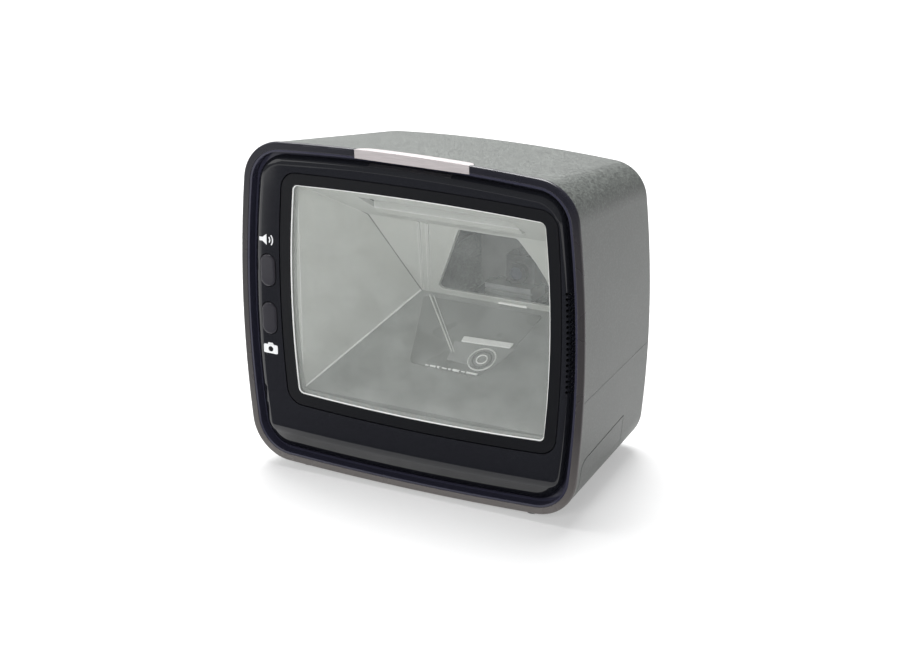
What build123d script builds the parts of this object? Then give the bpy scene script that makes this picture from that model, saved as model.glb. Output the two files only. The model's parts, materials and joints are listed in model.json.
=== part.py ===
from build123d import *
from math import cos, hypot, radians, sin, sqrt
import os

# Counter presentation barcode scanner.
# X runs to the right as the user faces the window, Y runs from the front to the back and Z is up.
# The origin is on the counter, under the middle of the body. Lengths are in millimetres.
# Depths are measured backwards from the plane of the front ring, heights up from the counter.

# ---- driving dimensions -------------------------------------------------------------------
BODY_WIDTH = 152.0
BODY_HEIGHT = 138.0
BODY_DEPTH = 88.0
SIDE_TAPER = 9.8
TOP_FALL = 15.25
FOOT_HEIGHT = 2.0
BUTTON_PROUD = 0.8
FRONT_Y = -(BODY_DEPTH + BUTTON_PROUD) / 2 + BUTTON_PROUD

WALL = 2.0
RING_FACE = 2.8
RING_LIP = 1.4
RING_DEPTH = 6.0
SEAM_GAP = 0.35
FINE_GAP = 0.1
BEZEL_INSET = 5.5
BEZEL_DEPTH = 4.25
BEZEL_ROUND = 3.5

GLASS_CENTRE_X = 4.4
GLASS_HALF_WIDTH = 57.4
GLASS_BOTTOM = 30.3 + FOOT_HEIGHT
GLASS_TOP = 121.0 + FOOT_HEIGHT
GLASS_FRONT = 0.9
GLASS_THICK = 2.2
GLASS_LAP = 1.2
MASK_WIDTH = 4.55
MASK_GROOVE = 0.35
MASK_BACK = 5.5

BUTTON_X = -63.1
BUTTON_HEIGHTS = {"volume": 82.7 + FOOT_HEIGHT, "capture": 62.4 + FOOT_HEIGHT}
BUTTON_WIDTH = 6.8
BUTTON_LENGTH = 13.4
BUTTON_GAP = 0.3
BUTTON_BACK = 5.4
STEM_BACK = 7.0
STEM_RADIUS = 1.4

UPPER_SEAM = 50.4 + FOOT_HEIGHT
UPPER_SEAM_FALL = 0.04
BASE_SEAM = 24.6 + FOOT_HEIGHT
BASE_FRONT = 4.5
BASE_REAR = 56.0

LIGHT_BAR_LEFT = -21.9
LIGHT_BAR_RIGHT = 27.6
LIGHT_BAR_BOTTOM = 134.2 + FOOT_HEIGHT
LIGHT_BAR_DEPTH = 8.0

BOARD_THICK = 1.6
MAIN_BOARD_Z = 9.0
BIG = 200.0


def y_at(depth):
    """The Y of a point that lies this far behind the front ring's face."""
    return FRONT_Y + depth


def pill(width, length):
    """A round-ended slot outline with its long way upright, drawn about its own centre."""
    return SlotOverall(length, width, rotation=90)


def front_plane(depth, x=0.0, z=0.0):
    """A plane square to the view from the front: local x is right, local y is up."""
    return Plane(origin=(x, y_at(depth), z), x_dir=(1, 0, 0), z_dir=(0, -1, 0))


def slab(sketch, depth_from, depth_to, x=0.0, z=0.0):
    """Extrude a front-view sketch between two depths."""
    return extrude(front_plane(depth_to, x, z) * sketch, depth_to - depth_from)


def block(x_range, depth_range, z_range):
    """A plain block between two X values, two depths and two heights."""
    size = (x_range[1] - x_range[0], depth_range[1] - depth_range[0], z_range[1] - z_range[0])
    centre = (sum(x_range) / 2, y_at(sum(depth_range) / 2), sum(z_range) / 2)
    return Pos(*centre) * Box(*size)


def rod(radius, x, z, depth_from, depth_to):
    """A cylinder along Y."""
    return slab(Circle(radius), depth_from, depth_to, x, z)


def post(radius, x, depth, z_from, z_to):
    """A cylinder along Z."""
    return extrude(Plane(origin=(x, y_at(depth), z_from)) * Circle(radius), z_to - z_from)


def side_slab(points, x_from, x_to):
    """Extrude a side profile of (depth, height) points between two X values."""
    profile = make_face(Polyline(*[(y_at(depth), z) for depth, z in points], close=True))
    plane = Plane(origin=(x_from, 0, 0), x_dir=(0, 1, 0), z_dir=(1, 0, 0))
    return extrude(plane * profile, x_to - x_from)


def group(shapes):
    """Several separate solids that share one node."""
    return Compound(children=[solid for shape in shapes for solid in shape.solids()])


def rounded_outline(half_width, bottom, top, bulge, crown_bottom, crown_top, radius):
    """A rounded rectangle whose sides bow out by bulge and whose ends bow out by their crowns."""
    corner_x = half_width - bulge
    low = bottom + crown_bottom
    high = top - crown_top
    middle = (bottom + top) / 2
    left_foot = (-corner_x, low)
    right_foot = (corner_x, low)
    right_head = (corner_x, high)
    left_head = (-corner_x, high)
    edges = [
        ThreePointArc(left_foot, (0, bottom), right_foot),
        ThreePointArc(right_foot, (half_width, middle), right_head),
        ThreePointArc(right_head, (0, top), left_head),
        ThreePointArc(left_head, (-half_width, middle), left_foot),
    ]
    face = make_face(Wire(edges))
    return fillet(face.vertices(), radius)


def body_outline(depth, inset=0.0):
    """The outside outline of the body at a depth; it narrows and its top falls to the rear."""
    share = depth / BODY_DEPTH
    half_width = body_half_width(depth) - inset
    bottom = FOOT_HEIGHT + 0.4 * share + inset
    top = FOOT_HEIGHT + BODY_HEIGHT - TOP_FALL * share - inset
    bulge = 4.6 - 0.6 * share
    radius = 18.0 - 3.0 * share - inset
    return rounded_outline(half_width, bottom, top, bulge, 1.9 - 1.2 * share, 2.8, radius)


def glass_outline(grow=0.0, radius=2.6):
    """The window opening's outline about its own centre line, grown by grow."""
    return rounded_outline(
        GLASS_HALF_WIDTH + grow, GLASS_BOTTOM - grow, GLASS_TOP + grow, 2.5, 1.8, 1.25, radius + grow
    )


def body_edge_x(z):
    """Half width of the front outline at a height."""
    half = BODY_HEIGHT / 2 - 2.35
    bulge = 4.6
    bow = (half * half + bulge * bulge) / (2 * bulge)
    offset = z - FOOT_HEIGHT - BODY_HEIGHT / 2
    return BODY_WIDTH / 2 - (bow - sqrt(bow * bow - offset * offset))


def body_taper(inset, depth_from, depth_to):
    """The body filled in, from one depth to another, as it narrows to the rear."""
    front = front_plane(depth_from) * body_outline(depth_from, inset)
    rear = front_plane(depth_to) * body_outline(depth_to, inset)
    return loft([front, rear])


def body_solid(inset, depth_from, depth_to, rear_round):
    """The tapered body with its rear edges rounded."""
    solid = body_taper(inset, depth_from, depth_to)
    rear_edges = solid.faces().sort_by(Axis.Y)[-1].edges()
    return fillet(rear_edges, rear_round)


def body_half_width(depth):
    """Half the body's width at mid height, at a depth."""
    return BODY_WIDTH / 2 - SIDE_TAPER * depth / BODY_DEPTH


def light_bar_prism(grow):
    """The light bar's plan shape, run up through the top edge of the body."""
    back_corner = 5.0
    left = LIGHT_BAR_LEFT - grow
    right = LIGHT_BAR_RIGHT + grow
    back = LIGHT_BAR_DEPTH + grow
    plan = make_face(Polyline(
        (left, y_at(-1)), (right, y_at(-1)), (right, y_at(back)), (left, y_at(back)), close=True
    ))
    plan = fillet(plan.vertices().sort_by(Axis.Y)[-2:], back_corner)
    return extrude(Plane(origin=(0, 0, LIGHT_BAR_BOTTOM - grow)) * plan, 20)


# ---- front group --------------------------------------------------------------------------
def make_front_ring():
    """The ring that frames the front: a rounded lip and a skirt that enters the housing."""
    lip = slab(body_outline(0), 0, RING_LIP)
    lip = fillet(lip.faces().sort_by(Axis.Y)[0].edges(), 0.8)
    skirt = body_taper(WALL + FINE_GAP, RING_LIP, RING_DEPTH)
    ring = lip + skirt - body_taper(RING_FACE, -0.5, RING_DEPTH + 1)
    return ring - light_bar_prism(0.15)


def make_bezel_surround():
    """The dark L-section frame between the ring and the bezel."""
    outer = RING_FACE + 0.05
    wall = 0.9
    floor_back = BEZEL_DEPTH + 1.25
    frame = body_taper(outer, 0.2, floor_back)
    frame -= slab(body_outline(0, outer + wall), 0, BEZEL_DEPTH + 0.05)
    frame -= slab(body_outline(0, BEZEL_INSET + 1.2), 0, floor_back + 1)
    return frame - light_bar_prism(0.15)


def grille_holes():
    """Three rows of small holes that follow the bezel's rounded right edge."""
    rows = 19
    pitch = 2.18
    first = 54.0 + FOOT_HEIGHT
    hole_radius = 0.62
    reach = 6.0
    holes = []
    for row in range(rows):
        z = first + pitch * row
        x = body_edge_x(z) - BEZEL_INSET - BEZEL_ROUND
        for angle in (33, 58, 83):
            direction = (sin(radians(angle)), -cos(radians(angle)), 0)
            plane = Plane(origin=(x, y_at(BEZEL_ROUND), z), z_dir=direction)
            holes.append(extrude(plane * Circle(hole_radius), reach))
    return holes


def make_front_bezel():
    """The glossy bezel with its rounded edge, button slots, grille holes and two screw bosses."""
    bezel = slab(body_outline(0, BEZEL_INSET), 0, BEZEL_DEPTH)
    bezel = fillet(bezel.faces().sort_by(Axis.Y)[0].edges(), BEZEL_ROUND)
    bezel -= slab(glass_outline(MASK_WIDTH + MASK_GROOVE), -1, BEZEL_DEPTH + 1, GLASS_CENTRE_X)
    slot = pill(BUTTON_WIDTH + 2 * BUTTON_GAP, BUTTON_LENGTH + 2 * BUTTON_GAP)
    for z in BUTTON_HEIGHTS.values():
        bezel -= slab(slot, -1, BEZEL_DEPTH + 1, BUTTON_X, z)
    channel_low = 52.0 + FOOT_HEIGHT
    channel_high = 96.0 + FOOT_HEIGHT
    bezel -= block((67.2, 68.2), (2.2, BEZEL_DEPTH + 1), (channel_low, channel_high))
    bezel -= grille_holes()
    for z in BUTTON_BOARD_SCREWS:
        bezel += rod(2.3, BUTTON_X, z, BEZEL_DEPTH - 0.5, BUTTON_BOARD_FRONT)
        bezel -= rod(0.8, BUTTON_X, z, BEZEL_DEPTH, BUTTON_BOARD_FRONT + 1)
    return bezel


def make_window_frame():
    """The matt frame around the glass, with a flange behind the bezel."""
    frame = slab(glass_outline(MASK_WIDTH), 0.05, MASK_BACK)
    frame = chamfer(frame.faces().sort_by(Axis.Y)[0].edges(), 0.25)
    frame += slab(glass_outline(MASK_WIDTH + 1.05), BEZEL_DEPTH + 0.1, MASK_BACK)
    frame -= slab(glass_outline(0), -1, MASK_BACK + 1)
    frame -= slab(glass_outline(GLASS_LAP + FINE_GAP), GLASS_FRONT, MASK_BACK + 1)
    return Pos(GLASS_CENTRE_X, 0, 0) * frame


def make_window_glass():
    """The clear window, with its polished front edge broken."""
    back = GLASS_FRONT + GLASS_THICK
    glass = slab(glass_outline(GLASS_LAP), GLASS_FRONT, back, GLASS_CENTRE_X)
    return chamfer(glass.faces().sort_by(Axis.Y)[-1].edges(), 0.3)


def make_window_gasket():
    """The foam frame that presses the glass forward."""
    front = GLASS_FRONT + GLASS_THICK
    gasket = slab(glass_outline(GLASS_LAP), front, MASK_BACK)
    gasket -= slab(glass_outline(0.1), front - 1, MASK_BACK + 1)
    return Pos(GLASS_CENTRE_X, 0, 0) * gasket


def make_indicator_bar():
    """The lit bar in the middle of the top edge."""
    body = body_solid(0, 0, BODY_DEPTH, REAR_ROUND)
    return body & light_bar_prism(0)


def make_indicator_board():
    """The narrow board under the light bar."""
    return block((-18, 24), (6.3, 13.3), (INDICATOR_BOARD_TOP - 1.0, INDICATOR_BOARD_TOP))


def make_indicator_leds():
    """Small lamps on the indicator board."""
    count = 4
    pitch = 10.0
    first = -13.6
    width = 3.2
    top = INDICATOR_BOARD_TOP + 1.6
    return group([
        block((first + pitch * i, first + width + pitch * i), (6.5, 7.9), (INDICATOR_BOARD_TOP, top))
        for i in range(count)
    ])


# ---- housings -----------------------------------------------------------------------------
REAR_ROUND = 6.0
INDICATOR_BOARD_TOP = 133.0
BOSSES = [(-55, 17), (55, 17), (-52, 50), (52, 50)]
BOSS_TOP = 31.0
PORT_WINDOW_X = (-28.0, 30.0)
PORT_WINDOW_Z = (9.5, 27.5)


def shell():
    """The hollow body behind the front ring."""
    outer = body_solid(0, RING_LIP + FINE_GAP / 2, BODY_DEPTH, REAR_ROUND)
    inner = body_solid(WALL, 0, BODY_DEPTH - WALL, REAR_ROUND - WALL)
    return outer - inner - light_bar_prism(0.15)


def base_region(gap):
    """The side view of the base cover, run across the body; gap shrinks it on all sides."""
    corner = 5.0
    profile = make_face(Polyline(
        (y_at(BASE_FRONT + gap), -5), (y_at(BASE_REAR - gap), -5),
        (y_at(BASE_REAR - gap), BASE_SEAM - gap), (y_at(BASE_FRONT + gap), BASE_SEAM - gap), close=True
    ))
    top_front = profile.vertices().group_by(Axis.Y)[-1].sort_by(Axis.X)[0]
    profile = fillet(top_front, corner)
    plane = Plane(origin=(-BIG / 2, 0, 0), x_dir=(0, 1, 0), z_dir=(1, 0, 0))
    return extrude(plane * profile, BIG)


def upper_region(shift):
    """Everything above the sloping parting line, moved up by shift."""
    front_z = UPPER_SEAM + shift
    rear_z = front_z - UPPER_SEAM_FALL * (BODY_DEPTH + 20)
    high = BODY_HEIGHT + 20
    return side_slab([(-20, front_z + UPPER_SEAM_FALL * 20), (BODY_DEPTH + 20, rear_z),
                      (BODY_DEPTH + 20, high), (-20, high)], -BIG / 2, BIG / 2)


def make_upper_housing(hollow):
    """The upper grey housing, with two pegs that carry the indicator board."""
    upper = hollow & upper_region(0.06)
    for x in (-14, 20):
        upper += post(1.4, x, 11.5, INDICATOR_BOARD_TOP, BODY_HEIGHT - 1.5)
    return upper


def make_lower_housing(hollow):
    """The lower grey housing with its screw bosses and the opening for the sockets."""
    lower = hollow - upper_region(-0.06) - base_region(0)
    for x, depth in BOSSES:
        wall_x = body_half_width(depth) - WALL - 1.2
        low, high = sorted((x, wall_x if x > 0 else -wall_x))
        boss = block((low, high), (depth - 3.5, depth + 3.5), (BASE_SEAM + 0.2, BOSS_TOP))
        boss += post(3.5, x, depth, BASE_SEAM + 0.2, BOSS_TOP)
        lower += boss - post(1.25, x, depth, BASE_SEAM, BOSS_TOP - 1.5)
    for x, depth in FEET[2:]:
        lower += post(FOOT_RADIUS + 1.6, x, depth, FOOT_HEIGHT + 1.2, FOOT_SEAT + 1.6)
        lower -= post(FOOT_RADIUS + 0.1, x, depth, 0, FOOT_SEAT)
    lower -= block(PORT_WINDOW_X, (BODY_DEPTH - WALL - 1, BODY_DEPTH + 1), PORT_WINDOW_Z)
    return lower


def make_base_cover(hollow):
    """The cover under the body, with screw pillars and seats for the mounting inserts."""
    cover = hollow & base_region(SEAM_GAP)
    floor = FOOT_HEIGHT + WALL
    for x, depth in BOSSES:
        cover += post(3.4, x, depth, floor + 0.2, BASE_SEAM - SEAM_GAP)
    for x, depth in MOUNT_POINTS:
        cover += post(4.2, x, depth, floor - 0.8, INSERT_TOP)
    for x, depth in BOARD_POSTS:
        cover += post(2.6, x, depth, floor - 0.6, MAIN_BOARD_Z)
        cover -= post(0.9, x, depth, floor + 1, MAIN_BOARD_Z + 1)
    for x, depth in BOSSES:
        cover -= post(1.7, x, depth, 0, BASE_SEAM + 1)
        cover -= post(3.0, x, depth, 0, SCREW_SEAT)
    for x, depth in MOUNT_POINTS:
        cover -= post(INSERT_RADIUS, x, depth, 0, INSERT_TOP - 1.0)
    for x, depth in FEET[:2]:
        cover -= post(FOOT_RADIUS + 0.1, x, depth, 0, FOOT_SEAT)
    return cover


SCREW_SEAT = 8.0
MOUNT_SPACING_X = 60.0
MOUNT_SPACING_Y = 30.0
MOUNT_DEPTH = 30.4
MOUNT_POINTS = [
    (sx * MOUNT_SPACING_X / 2, MOUNT_DEPTH + sy * MOUNT_SPACING_Y / 2) for sx in (-1, 1) for sy in (-1, 1)
]
INSERT_RADIUS = 2.8
INSERT_BORE = 1.65
INSERT_TOP = 8.6
BOARD_POSTS = [(-40, 22), (40, 22), (-40, 52), (40, 52)]
FOOT_RADIUS = 3.2
FOOT_SEAT = 4.0
FEET = [(-51.2, 8.6), (51.2, 8.6), (-38, 74), (38, 74)]


def make_rubber_feet():
    """Four round feet: two seated in the base cover, two in the lower housing."""
    feet = []
    for x, depth in FEET:
        foot = post(FOOT_RADIUS, x, depth, 0, FOOT_SEAT)
        feet.append(chamfer(foot.faces().sort_by(Axis.Z)[0].edges(), 0.5))
    return group(feet)


def make_base_screws():
    """Pan-head screws that hold the base cover up against the lower housing."""
    screws = []
    for x, depth in BOSSES:
        head = post(2.75, x, depth, SCREW_SEAT - 2.2, SCREW_SEAT)
        head = fillet(head.faces().sort_by(Axis.Z)[0].edges(), 0.8)
        head -= extrude(Plane(origin=(x, y_at(depth), SCREW_SEAT - 2.3)) * RegularPolygon(1.25, 6), 1.3)
        screws.append(head + post(1.2, x, depth, SCREW_SEAT, BOSS_TOP - 2))
    return group(screws)


def make_mounting_inserts():
    """Brass threaded inserts for a stand or a counter plate."""
    inserts = []
    for x, depth in MOUNT_POINTS:
        insert = post(INSERT_RADIUS - 0.02, x, depth, FOOT_HEIGHT + 0.2, INSERT_TOP - 1.0)
        insert -= post(INSERT_BORE, x, depth, 0, INSERT_TOP)
        inserts.append(insert)
    return group(inserts)


# ---- sockets ------------------------------------------------------------------------------
PANEL_FRONT = BODY_DEPTH - WALL - 2.0
PANEL_BACK = BODY_DEPTH - WALL - 0.05
BOARD_TOP = MAIN_BOARD_Z + BOARD_THICK
DATA_PORT_X = -17.0
USB_X = 4.0
POWER_X = 21.0


def make_socket_panel():
    """The dark plate that closes the housing around the sockets."""
    panel = block((PORT_WINDOW_X[0] - 2, PORT_WINDOW_X[1] + 2), (PANEL_FRONT, PANEL_BACK), (8.0, 29.0))
    panel -= block((DATA_PORT_X - 8.1, DATA_PORT_X + 8.1), (PANEL_FRONT - 1, PANEL_BACK + 1),
                   (BOARD_TOP - 0.1, BOARD_TOP + 13.6))
    panel -= block((USB_X - 7.3, USB_X + 7.3), (PANEL_FRONT - 1, PANEL_BACK + 1),
                   (BOARD_TOP - 0.1, BOARD_TOP + 7.3))
    panel -= block((POWER_X - 4.6, POWER_X + 4.6), (PANEL_FRONT - 1, PANEL_BACK + 1),
                   (BOARD_TOP - 0.1, BOARD_TOP + 11.1))
    return panel


def make_data_port():
    """The latching data socket: a box with a stepped opening to the rear."""
    z = BOARD_TOP
    port = block((DATA_PORT_X - 8, DATA_PORT_X + 8), (67, PANEL_BACK), (z, z + 13.5))
    port -= block((DATA_PORT_X - 6, DATA_PORT_X + 6), (73, PANEL_BACK + 1), (z + 4.2, z + 11.8))
    port -= block((DATA_PORT_X - 3.2, DATA_PORT_X + 3.2), (73, PANEL_BACK + 1), (z + 2.0, z + 4.3))
    return port


def make_data_port_contacts():
    """A comb of spring contacts under the roof of the data socket."""
    count = 10
    pitch = 1.02
    z = BOARD_TOP + 11.8
    contacts = []
    for i in range(count):
        x = DATA_PORT_X + (i - (count - 1) / 2) * pitch
        contacts.append(block((x - 0.22, x + 0.22), (73.1, 82.5), (z - 0.45, z - 0.02)))
    return group(contacts)


def make_usb_port():
    """The auxiliary socket's folded metal shell."""
    z = BOARD_TOP
    shell_wall = 0.5
    usb = block((USB_X - 7.2, USB_X + 7.2), (70, PANEL_BACK), (z, z + 7.2))
    return usb - block((USB_X - 7.2 + shell_wall, USB_X + 7.2 - shell_wall), (72, PANEL_BACK + 1),
                       (z + shell_wall, z + 7.2 - shell_wall))


def make_usb_tongue():
    """The contact tongue inside the auxiliary socket."""
    z = BOARD_TOP + 4.2
    return block((USB_X - 5.6, USB_X + 5.6), (72, 84.5), (z, z + 1.9))


def make_power_jack():
    """The round power socket in its square body."""
    z = BOARD_TOP + 5.6
    jack = block((POWER_X - 4.5, POWER_X + 4.5), (72, PANEL_BACK), (BOARD_TOP, BOARD_TOP + 11))
    return jack - rod(3.2, POWER_X, z, 75, PANEL_BACK + 1)


def make_power_pin():
    """The centre pin of the power socket."""
    return rod(1.0, POWER_X, BOARD_TOP + 5.6, 75, 84)


# ---- optical chamber ----------------------------------------------------------------------
CHAMBER_WALL = 1.6
CHAMBER_FRONT = MASK_BACK + 0.05
SIDE_SLOPE = 0.371
FLOOR_SLOPE = 0.467
FLOOR_AT_FRONT = 29.4 + FOOT_HEIGHT
CEILING_FOLD = (38.6, 98.9 + FOOT_HEIGHT)
BACK_FOOT = (65.0, 59.8 + FOOT_HEIGHT)
CEILING_AT_FRONT = 121.6 + FOOT_HEIGHT
CHAMBER_HALF_FRONT = 58.0
MIRROR_THICK = 2.0
RIB_HALF = 0.6
RIB_LINES = [(-28.6, -15.6), (-25.4, -11.6)]
BACK_SLOPE = (CEILING_FOLD[1] - BACK_FOOT[1]) / (BACK_FOOT[0] - CEILING_FOLD[0])


def floor_z(depth):
    """Height of the mirror's face at a depth."""
    return FLOOR_AT_FRONT + FLOOR_SLOPE * depth


def back_depth(z):
    """Depth of the sloping rear wall's inside face at a height."""
    return BACK_FOOT[0] - (z - BACK_FOOT[1]) / BACK_SLOPE


def chamber_void(grow, mirror_drop):
    """The space inside the chamber; grow adds a wall all round, mirror_drop lowers the floor."""
    drop = mirror_drop + grow * hypot(1, FLOOR_SLOPE)
    side = side_slab([
        (-2, floor_z(-2) - drop),
        (BACK_FOOT[0] + grow, floor_z(BACK_FOOT[0] + grow) - drop),
        (BACK_FOOT[0] + grow, BACK_FOOT[1]),
        (CEILING_FOLD[0] + grow, CEILING_FOLD[1] + grow),
        (-2, CEILING_AT_FRONT + 1.3 + grow),
    ], -BIG / 2, BIG / 2)
    half = CHAMBER_HALF_FRONT + grow * hypot(1, SIDE_SLOPE)
    reach = BODY_DEPTH
    plan = make_face(Polyline(
        (GLASS_CENTRE_X - half, y_at(0)), (GLASS_CENTRE_X + half, y_at(0)),
        (GLASS_CENTRE_X + half - SIDE_SLOPE * reach, y_at(reach)),
        (GLASS_CENTRE_X - half + SIDE_SLOPE * reach, y_at(reach)), close=True
    ))
    return side & extrude(plan, BIG)


def camera_opening():
    """The slanted-sided opening in the chamber's rear wall, run from front to back."""
    foot_z = 62.6 + FOOT_HEIGHT
    head_z = 98.0 + FOOT_HEIGHT
    outline = make_face(Polyline(
        (-20.5, foot_z), (35.0, foot_z), (34.6, 77.9 + FOOT_HEIGHT), (32.7, 86.1 + FOOT_HEIGHT),
        (28.4, head_z), (2.0, head_z), close=True
    ))
    outline = fillet(outline.vertices(), 1.6)
    return slab(outline, 30, BODY_DEPTH)


def make_optical_chamber():
    """The white-grey moulded box behind the window, open to the front and to the camera."""
    chamber = chamber_void(CHAMBER_WALL, MIRROR_THICK) - chamber_void(0, MIRROR_THICK)
    chamber -= block((-BIG / 2, BIG / 2), (-20, CHAMBER_FRONT), (0, BIG))
    flange = slab(glass_outline(MASK_WIDTH - 1.9), CHAMBER_FRONT, CHAMBER_FRONT + 1.5, GLASS_CENTRE_X)
    flange -= chamber_void(0, MIRROR_THICK)
    chamber += flange
    chamber -= camera_opening()
    bar_gap = 0.3
    chamber -= block((BAR_X[0] - bar_gap, BAR_X[1] + bar_gap), (12.0, BAR_DEPTHS[1] + bar_gap), (100, 140))
    rear_skin = side_slab([
        (BACK_FOOT[0] + 0.5, BACK_FOOT[1]), (CEILING_FOLD[0] + 0.5, CEILING_FOLD[1]),
        (CEILING_FOLD[0] - 0.9, CEILING_FOLD[1]), (BACK_FOOT[0] - 0.9, BACK_FOOT[1] + 1.0),
    ], -BIG / 2, BIG / 2)
    for foot_x, head_x in RIB_LINES:
        rib = make_face(Polyline(
            (foot_x - RIB_HALF, BACK_FOOT[1]), (foot_x + RIB_HALF, BACK_FOOT[1]),
            (head_x + RIB_HALF, CEILING_FOLD[1]), (head_x - RIB_HALF, CEILING_FOLD[1]), close=True
        ))
        chamber += rear_skin & slab(rib, 30, BODY_DEPTH)
    return chamber


def make_bottom_mirror():
    """The mirror plate that forms the chamber's floor."""
    clearance = 0.05
    front = CHAMBER_FRONT + 0.3
    back = BACK_FOOT[0] - 0.2
    floor = side_slab([
        (front, floor_z(front) - MIRROR_THICK + clearance),
        (back, floor_z(back) - MIRROR_THICK + clearance),
        (back, floor_z(back)), (front, floor_z(front)),
    ], -BIG / 2, BIG / 2)
    return floor & chamber_void(-clearance, MIRROR_THICK)


# ---- illumination bar ---------------------------------------------------------------------
BAR_X = (-27.8, 36.6)
BAR_DEPTHS = (24.0, 31.0)
BAR_Z = (104.5 + FOOT_HEIGHT, 114.0 + FOOT_HEIGHT)
BAR_CREASE = 107.4 + FOOT_HEIGHT
DIFFUSER_DEPTH = 3.4


def make_light_bracket():
    """The folded bracket, let into the chamber's ceiling, that carries the lamp bar."""
    front, back = BAR_DEPTHS
    low, high = BAR_Z
    profile = [
        (front, BAR_CREASE - 0.1), (front + BAR_CREASE - low, low), (back, low), (back, high),
        (front + DIFFUSER_DEPTH + 0.1, high), (front + DIFFUSER_DEPTH + 0.1, BAR_CREASE - 0.1),
    ]
    return side_slab(profile, BAR_X[0], BAR_X[1])


def make_light_diffuser():
    """The milky trough-shaped cover over the lamps."""
    front = BAR_DEPTHS[0]
    wall = 1.0
    high = BAR_Z[1] - 0.2
    cover = block((BAR_X[0] + 0.1, BAR_X[1] - 0.1), (front, front + DIFFUSER_DEPTH), (BAR_CREASE, high))
    return cover - block((BAR_X[0] + wall, BAR_X[1] - wall), (front + wall, front + BIG),
                         (BAR_CREASE + wall, high - wall))


def make_illumination_board():
    """The lamp board inside the diffuser, against the bracket."""
    back = BAR_DEPTHS[0] + DIFFUSER_DEPTH
    return block((BAR_X[0] + 1.2, BAR_X[1] - 1.2), (back - 0.9, back), (BAR_CREASE + 1.2, BAR_Z[1] - 1.4))


def make_illumination_leds():
    """Lamps along the illumination board."""
    count = 8
    front = BAR_DEPTHS[0] + DIFFUSER_DEPTH - 0.9
    pitch = (BAR_X[1] - BAR_X[0] - 12) / (count - 1)
    middle = (BAR_CREASE + BAR_Z[1]) / 2
    lamps = []
    for i in range(count):
        x = BAR_X[0] + 6 + pitch * i
        lamps.append(block((x - 1.4, x + 1.4), (front - 0.8, front), (middle - 1.2, middle + 1.2)))
    return group(lamps)


# ---- camera -------------------------------------------------------------------------------
LENS_X = 12.7
LENS_Z = 71.9 + FOOT_HEIGHT
LENS_FRONT = 69.5
LENS_HALF = 6.5
CAMERA_BOARD_FRONT = 81.5


def make_lens_barrel():
    """The stepped, threaded lens barrel."""
    barrel = rod(4.6, LENS_X, LENS_Z, LENS_FRONT, LENS_FRONT + 1.6)
    barrel += rod(3.9, LENS_X, LENS_Z, LENS_FRONT + 1.6, LENS_FRONT + 7.5)
    barrel -= rod(2.8, LENS_X, LENS_Z, LENS_FRONT - 1, LENS_FRONT + 1.0)
    return barrel - rod(2.4, LENS_X, LENS_Z, LENS_FRONT, LENS_FRONT + 8)


def make_lens_elements():
    """Front and rear lens elements."""
    front = rod(2.75, LENS_X, LENS_Z, LENS_FRONT + 0.4, LENS_FRONT + 1.0)
    rear = rod(2.35, LENS_X, LENS_Z, LENS_FRONT + 5.5, LENS_FRONT + 6.6)
    return group([front, rear])


def make_lens_holder():
    """The square holder on the camera board that the barrel screws into."""
    half = LENS_HALF
    holder = block((LENS_X - half, LENS_X + half), (LENS_FRONT + 4.2, CAMERA_BOARD_FRONT),
                   (LENS_Z - half, LENS_Z + half))
    holder -= rod(3.95, LENS_X, LENS_Z, LENS_FRONT, LENS_FRONT + 8)
    inner = half - 1.2
    return holder - block((LENS_X - inner, LENS_X + inner), (LENS_FRONT + 8, CAMERA_BOARD_FRONT + 1),
                          (LENS_Z - inner, LENS_Z + inner))


def make_image_sensor():
    """The sensor chip under the lens."""
    return block((LENS_X - 3.5, LENS_X + 3.5), (CAMERA_BOARD_FRONT - 1.2, CAMERA_BOARD_FRONT),
                 (LENS_Z - 3, LENS_Z + 3))


def make_camera_board():
    """The upright camera board."""
    back = CAMERA_BOARD_FRONT + BOARD_THICK
    board = block((LENS_X - 22, LENS_X + 18), (CAMERA_BOARD_FRONT, back), (54.0, 96.0))
    for x, z in CAMERA_SCREWS:
        board -= rod(1.3, x, z, CAMERA_BOARD_FRONT - 1, back + 1)
    return board


CAMERA_SCREWS = [(LENS_X - 18, 62.0), (LENS_X + 14, 62.0), (LENS_X - 18, 92.0), (LENS_X + 14, 92.0)]


def make_camera_spacers():
    """Four spacers that hold the camera board off the chamber's rear wall."""
    spacers = []
    for x, z in CAMERA_SCREWS:
        start = back_depth(z) + CHAMBER_WALL + 2.6 if z > 80 else BACK_FOOT[0] + CHAMBER_WALL + 1.4
        spacers.append(rod(2.4, x, z, start, CAMERA_BOARD_FRONT) - rod(0.8, x, z, 76, CAMERA_BOARD_FRONT + 1))
    return group(spacers)


def make_camera_screws():
    """Screws that hold the camera board."""
    back = CAMERA_BOARD_FRONT + BOARD_THICK
    screws = []
    for x, z in CAMERA_SCREWS:
        screws.append(rod(1.9, x, z, back, back + 1.3) + rod(0.75, x, z, 77, back))
    return group(screws)


BLOCK_X = (-0.5, 20.6)
BLOCK_Z = (60.6 + FOOT_HEIGHT, 66.9 + FOOT_HEIGHT)
BLOCK_FRONT = 67.2


def make_finned_heat_sink():
    """The aluminium block below the lens, ribbed along its front."""
    low, high = BLOCK_Z
    sink = block(BLOCK_X, (BLOCK_FRONT, LENS_FRONT + 3.8), BLOCK_Z)
    sink += block(BLOCK_X, (BLOCK_FRONT + 2, CAMERA_BOARD_FRONT - 0.1), (low, LENS_Z - LENS_HALF - 0.3))
    groove = 0.8
    for share in (0.28, 0.62):
        z = low + (high - low) * share
        sink -= block((BLOCK_X[0] - 1, BLOCK_X[1] + 1), (BLOCK_FRONT - 1, BLOCK_FRONT + 1.2),
                      (z - groove / 2, z + groove / 2))
    return sink


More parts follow.
